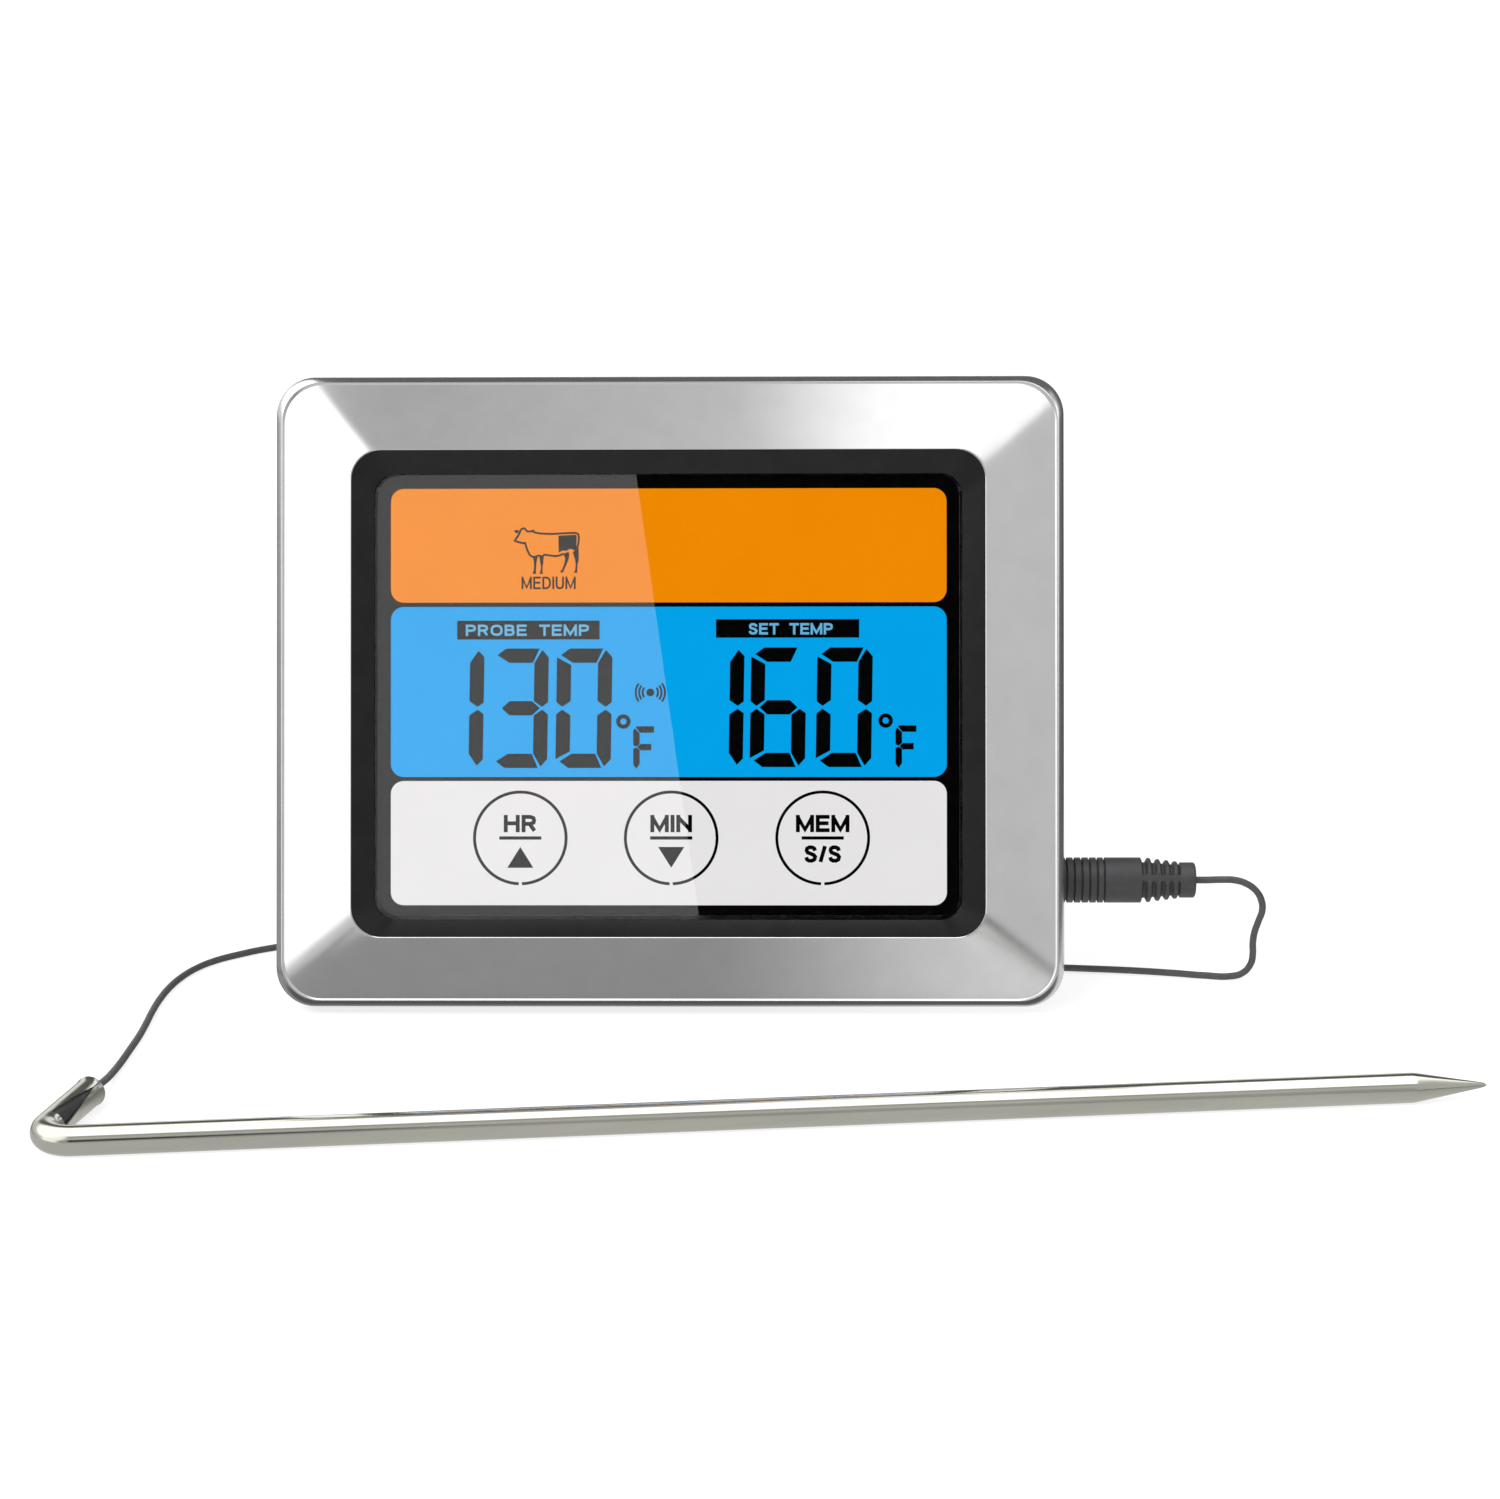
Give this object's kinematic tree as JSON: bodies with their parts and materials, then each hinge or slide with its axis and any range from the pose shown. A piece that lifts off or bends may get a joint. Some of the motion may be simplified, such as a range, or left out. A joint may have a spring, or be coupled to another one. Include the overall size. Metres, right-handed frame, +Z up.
{
  "type": "digital meat thermometer",
  "caption": "Leaning display unit with a lit colour window and touch keys, joined by a thin plug-in cable to a bent, pointed steel probe.",
  "frame": {"origin": "on the table, in the middle of the box around the display unit and the probe, leaving out the cable and its plug", "axes": "+X to the right as seen from the front and along the longest side, +Y away from the viewer, +Z up from the table"},
  "size_m": [0.1703, 0.0929, 0.0793],
  "materials": {
    "silver_frame": "satin silver paint on moulded plastic, polished rim",
    "black_ring": "gloss black",
    "glass": "clear",
    "gasket": "black adhesive foam",
    "film": "clear film",
    "lcd_glass": "clear",
    "orange_light": "lit amber light guide",
    "blue_light": "lit blue light guide",
    "white_light": "lit white light guide",
    "white_plastic": "matte",
    "led": "clear resin",
    "zebra": "layered silicone",
    "board": "green solder mask",
    "epoxy": "black epoxy",
    "component": "small ceramic chips",
    "bright_steel": "nickel plated",
    "capacitor_sleeve": "dark blue sleeve",
    "brass": "plain brass",
    "piezo": "white ceramic",
    "grey_case": "silver-grey moulded ABS, fine texture",
    "magnet": "nickel plated",
    "cell_wrap": "printed foil wrap",
    "red_wire": "red insulation",
    "black_plastic": "matte black",
    "plunger": "red",
    "charcoal_grip": "charcoal soft PVC",
    "plug_metal": "gold plated",
    "cable_jacket": "dark grey silicone",
    "stainless": "polished stainless steel",
    "potting": "thermal epoxy",
    "copper": "enamelled copper"
  },
  "bodies": {
    "unit": {"front_frame": "silver_frame", "window_ring": "black_ring", "window_glass": "glass", "window_gasket": "gasket", "touch_film": "film", "lcd_front_glass": "lcd_glass", "lcd_rear_glass": "lcd_glass", "backlight_orange": "orange_light", "backlight_blue": "blue_light", "backlight_white": "white_light", "backlight_reflector": "white_plastic", "backlight_leds": "led", "lcd_holder": "white_plastic", "zebra_strip": "zebra", "main_board": "board", "chip_blob": "epoxy", "board_parts": "component", "crystal": "bright_steel", "capacitor": "capacitor_sleeve", "board_screws": "bright_steel", "buzzer_disc": "brass", "buzzer_ceramic": "piezo", "rear_case": "grey_case", "case_screws": "bright_steel", "magnets": "magnet", "battery_cell_lower": "cell_wrap", "battery_cell_upper": "cell_wrap", "battery_springs": "bright_steel", "link_contact": "bright_steel", "positive_contact": "bright_steel", "negative_contact": "bright_steel", "lead_red": "red_wire", "lead_black": "black_plastic", "stand_pin": "bright_steel", "power_switch_body": "black_plastic", "tact_switch": "black_plastic", "jack_body": "black_plastic", "jack_contact": "brass"},
    "battery_door": {"battery_door": "grey_case"},
    "stand": {"stand": "grey_case"},
    "power_switch": {"power_switch_knob": "black_plastic"},
    "unit_button": {"unit_button": "black_plastic", "tact_plunger": "plunger"},
    "probe": {"plug_grip": "charcoal_grip", "plug_sleeve": "plug_metal", "plug_insulator": "black_plastic", "plug_tip": "plug_metal", "cable_plug_side": "cable_jacket", "cable_coil": "cable_jacket", "coil_tie": "black_plastic", "cable_probe_side": "cable_jacket", "probe_tube": "stainless", "probe_tip": "stainless", "cable_seal": "black_plastic", "thermistor_bead": "epoxy", "thermistor_leads": "copper", "tip_potting": "potting"}
  },
  "joints": [
    {"name": "stand_hinge", "type": "hinge", "parent": "unit", "child": "stand", "pos_m": [-0.0135, 0.03129, 0.03963], "axis": [1, 0, 0], "range_deg": [-34, 0]},
    {"name": "battery_door_slide", "type": "slide", "parent": "unit", "child": "battery_door", "axis": [0, 0.2588, 0.9659], "range_m": [0, 0.026]},
    {"name": "power_switch_slide", "type": "slide", "parent": "unit", "child": "power_switch", "axis": [0, 0.2588, 0.9659], "range_m": [0, 0.002]},
    {"name": "unit_button_press", "type": "slide", "parent": "unit", "child": "unit_button", "axis": [0, -0.9659, 0.2588], "range_m": [0, 0.0005], "stiffness_N_per_m": 500},
    {"name": "probe_unplug", "type": "slide", "parent": "unit", "child": "probe", "axis": [1, 0, 0], "range_m": [0, 0.014]}
  ]
}
